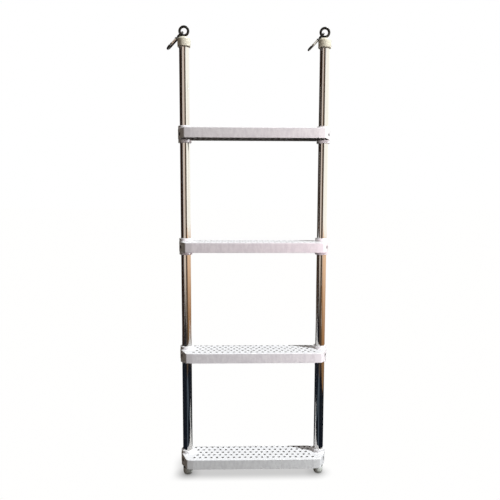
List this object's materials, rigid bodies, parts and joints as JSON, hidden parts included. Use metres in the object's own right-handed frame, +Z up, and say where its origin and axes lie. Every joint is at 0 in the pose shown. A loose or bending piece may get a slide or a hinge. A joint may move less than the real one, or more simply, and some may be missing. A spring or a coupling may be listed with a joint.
{
  "type": "boat boarding ladder",
  "caption": "Rigid hang-on boat boarding ladder: tubular steel rails, perforated moulded steps, capped rail tops with eyes and spring snap hooks, and domed feet.",
  "frame": {"origin": "midway between the centres of the two eyes that the ladder hangs from", "axes": "+Z up along the rails, +X to the climber's right, -Y towards the climber, in front of the steps"},
  "size_m": [0.4161, 0.078, 1.1793],
  "materials": {
    "polished_steel": "polished",
    "forged_steel": "polished",
    "gate_steel": "polished",
    "screw_steel": "satin",
    "step_plastic": "satin",
    "cap_plastic": "satin",
    "plug_plastic": "satin",
    "foot_plastic": "satin"
  },
  "bodies": {
    "ladder": {"left_rail": "polished_steel", "right_rail": "polished_steel", "step_1": "step_plastic", "step_2": "step_plastic", "step_3": "step_plastic", "step_4": "step_plastic", "step_1_left_screw": "screw_steel", "step_1_right_screw": "screw_steel", "step_2_left_screw": "screw_steel", "step_2_right_screw": "screw_steel", "step_3_left_screw": "screw_steel", "step_3_right_screw": "screw_steel", "step_4_left_screw": "screw_steel", "step_4_right_screw": "screw_steel", "left_top_cap": "cap_plastic", "right_top_cap": "cap_plastic", "left_rail_plug": "plug_plastic", "right_rail_plug": "plug_plastic", "left_eye_bolt": "forged_steel", "right_eye_bolt": "forged_steel", "left_foot": "foot_plastic", "right_foot": "foot_plastic"},
    "left_snap_hook": {"left_hook": "forged_steel", "left_gate_rivet": "screw_steel"},
    "left_snap_gate": {"left_gate": "gate_steel", "left_gate_spring": "gate_steel"},
    "right_snap_hook": {"right_hook": "forged_steel", "right_gate_rivet": "screw_steel"},
    "right_snap_gate": {"right_gate": "gate_steel", "right_gate_spring": "gate_steel"}
  },
  "joints": [
    {"name": "left_hook_swing", "type": "hinge", "parent": "ladder", "child": "left_snap_hook", "pos_m": [-0.1778, 0, 0], "axis": [0, 1, 0], "range_deg": [0, 273]},
    {"name": "left_gate_swing", "type": "hinge", "parent": "left_snap_hook", "child": "left_snap_gate", "pos_m": [-0.19672, -0.0074, -0.01997], "axis": [0.7259, 0, -0.6878], "range_deg": [0, 28], "stiffness_Nm_per_rad": 0.02, "springref_deg": -17.19},
    {"name": "right_hook_swing", "type": "hinge", "parent": "ladder", "child": "right_snap_hook", "pos_m": [0.1778, 0, 0], "axis": [0, 1, 0], "range_deg": [0, 273]},
    {"name": "right_gate_swing", "type": "hinge", "parent": "right_snap_hook", "child": "right_snap_gate", "pos_m": [0.15888, -0.0074, -0.01997], "axis": [0.7259, 0, -0.6878], "range_deg": [0, 28], "stiffness_Nm_per_rad": 0.02, "springref_deg": -17.19}
  ]
}
